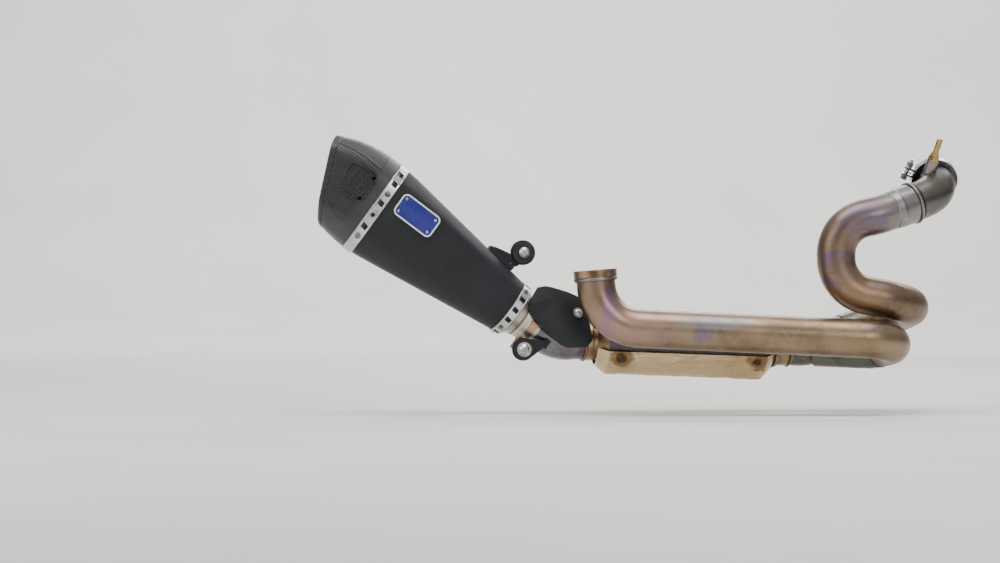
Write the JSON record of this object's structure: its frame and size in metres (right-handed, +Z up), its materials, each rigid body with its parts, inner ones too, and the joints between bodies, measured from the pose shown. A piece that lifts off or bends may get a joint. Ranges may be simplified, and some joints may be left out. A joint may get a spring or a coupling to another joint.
{
  "type": "motorcycle racing exhaust system",
  "caption": "Two-into-one racing exhaust with heat-tinted headers, shielded catalyst can, link pipe with cover and black conical silencer with carbon end cap.",
  "frame": {"origin": "centre of the front port's mating face, on the axis of the front elbow", "axes": "+X forward along the motorcycle, +Y from the outer side towards the motorcycle, +Z up"},
  "size_m": [0.9766, 0.2347, 0.3688],
  "materials": {
    "gasket": "matte",
    "dark_steel": "satin",
    "bare_titanium": "satin",
    "sensor_metal": "satin",
    "zinc": "satin",
    "heat_tinted_titanium": "satin",
    "tinted_clamp": "satin",
    "dark_titanium": "satin",
    "gold_titanium": "satin",
    "mat_fibre": "matte",
    "brick_ceramic": "matte",
    "shield_foil": "wrinkled satin",
    "shield_blanket": "matte",
    "dark_rivet": "satin",
    "grey_titanium": "satin",
    "satin_black": "satin",
    "black_rubber": "matte",
    "champagne_titanium": "satin",
    "bright_band": "satin",
    "badge_enamel": "gloss",
    "carbon_cap": "semi-matte weave"
  },
  "bodies": {
    "pipework": {"front_header": "heat_tinted_titanium", "rear_header": "heat_tinted_titanium", "rear_port_ring": "bare_titanium", "rear_gasket": "gasket", "collector": "dark_titanium", "collector_branch": "dark_titanium", "collector_outlet": "gold_titanium", "catalyst_can": "gold_titanium", "catalyst_mat": "mat_fibre", "catalyst_brick": "brick_ceramic", "lower_heat_shield": "shield_foil", "upper_heat_shield": "shield_blanket", "shield_rivets": "dark_rivet", "link_pipe": "grey_titanium", "link_joint_ring": "grey_titanium", "link_cover": "satin_black", "cover_standoffs": "bare_titanium", "lower_lug": "satin_black", "lower_rubber": "black_rubber", "lower_sleeve": "zinc"},
    "elbow": {"front_elbow": "dark_steel", "front_joint_bead": "bare_titanium", "front_gasket": "gasket", "sensor_boss": "bare_titanium"},
    "oxygen_sensor": {"oxygen_sensor": "sensor_metal"},
    "front_clamp": {"front_port_clamp": "zinc", "front_clamp_bolt": "zinc"},
    "front_nut": {"front_clamp_nut": "zinc"},
    "rear_clamp": {"rear_port_clamp": "tinted_clamp", "rear_clamp_bolt": "zinc"},
    "rear_nut": {"rear_clamp_nut": "zinc"},
    "silencer": {"inlet_sleeve": "champagne_titanium", "inlet_cone": "champagne_titanium", "silencer_sleeve": "satin_black", "front_bulkhead": "bare_titanium", "rear_bulkhead": "bare_titanium", "core_tube": "bare_titanium", "packing": "mat_fibre", "front_band": "bright_band", "front_band_rivets": "bright_band", "rear_band": "bright_band", "rear_band_rivets": "bright_band", "badge_plate": "badge_enamel", "badge_rivets": "bright_band", "hanger_bracket": "satin_black", "hanger_bracket_rivets": "dark_rivet", "hanger_rubber": "black_rubber", "hanger_sleeve": "zinc", "end_cap": "carbon_cap", "cap_mesh": "carbon_cap", "cap_screws": "dark_rivet", "outlet_pipe": "grey_titanium"},
    "inlet_clamp": {"inlet_clamp": "tinted_clamp", "inlet_clamp_bolt": "zinc"},
    "inlet_nut": {"inlet_clamp_nut": "zinc"},
    "baffle": {"baffle": "bare_titanium"},
    "baffle_screw": {"baffle_screw": "zinc"},
    "hanger_bolt": {"hanger_bolt": "zinc"},
    "lower_bolt": {"lower_bolt": "zinc"},
    "cover_screw": {"cover_screw": "zinc"}
  },
  "joints": [
    {"name": "elbow_slip", "type": "slide", "parent": "pipework", "child": "elbow", "axis": [0.8746, 0.3761, 0.3061], "range_m": [0, 0.016]},
    {"name": "sensor_turn", "type": "hinge", "parent": "elbow", "child": "oxygen_sensor", "pos_m": [-0.00899, -0.03765, 0.02424], "axis": [0.273, -0.2925, 0.9165], "continuous": true},
    {"name": "front_clamp_turn", "type": "hinge", "parent": "elbow", "child": "front_clamp", "pos_m": [0, 0, 0], "axis": [0.0614, -0.9008, -0.4299], "range_deg": [-25, 25]},
    {"name": "front_nut_turn", "type": "hinge", "parent": "front_clamp", "child": "front_nut", "pos_m": [-0.04278, -0.01017, 0.01404], "axis": [-0.3687, 0.3798, -0.8484], "continuous": true},
    {"name": "rear_clamp_turn", "type": "hinge", "parent": "pipework", "child": "rear_clamp", "pos_m": [-0.526, -0.125, -0.148], "axis": [0.0787, 0, -0.9969], "range_deg": [-25, 25]},
    {"name": "rear_nut_turn", "type": "hinge", "parent": "rear_clamp", "child": "rear_nut", "pos_m": [-0.51921, -0.08482, -0.14395], "axis": [0.9818, -0.1737, 0.0775], "continuous": true},
    {"name": "silencer_slip", "type": "slide", "parent": "pipework", "child": "silencer", "axis": [-0.7913, -0.1682, 0.5878], "range_m": [0, 0.03]},
    {"name": "inlet_clamp_turn", "type": "hinge", "parent": "silencer", "child": "inlet_clamp", "pos_m": [-0.61993, -0.05459, -0.22189], "axis": [-0.7913, -0.1682, 0.5878], "range_deg": [-20, 0]},
    {"name": "inlet_nut_turn", "type": "hinge", "parent": "inlet_clamp", "child": "inlet_nut", "pos_m": [-0.644, -0.06257, -0.25317], "axis": [0.2475, -0.9672, 0.0564], "continuous": true},
    {"name": "baffle_pull", "type": "slide", "parent": "silencer", "child": "baffle", "axis": [-0.7913, -0.1682, 0.5878], "range_m": [0, 0.05]},
    {"name": "baffle_screw_turn", "type": "hinge", "parent": "baffle", "child": "baffle_screw", "pos_m": [-0.88591, -0.11113, 0.00781], "axis": [-0.7913, -0.1682, 0.5878], "continuous": true},
    {"name": "hanger_bolt_turn", "type": "hinge", "parent": "silencer", "child": "hanger_bolt", "pos_m": [-0.63408, -0.0576, -0.1125], "axis": [-0.2079, 0.9781, 0], "continuous": true},
    {"name": "lower_bolt_turn", "type": "hinge", "parent": "pipework", "child": "lower_bolt", "pos_m": [-0.63351, -0.0953, -0.25862], "axis": [-0.2079, 0.9781, 0], "continuous": true},
    {"name": "cover_screw_turn", "type": "hinge", "parent": "pipework", "child": "cover_screw", "pos_m": [-0.552, -0.08, -0.204], "axis": [0.4513, -0.8487, 0.2756], "continuous": true}
  ]
}
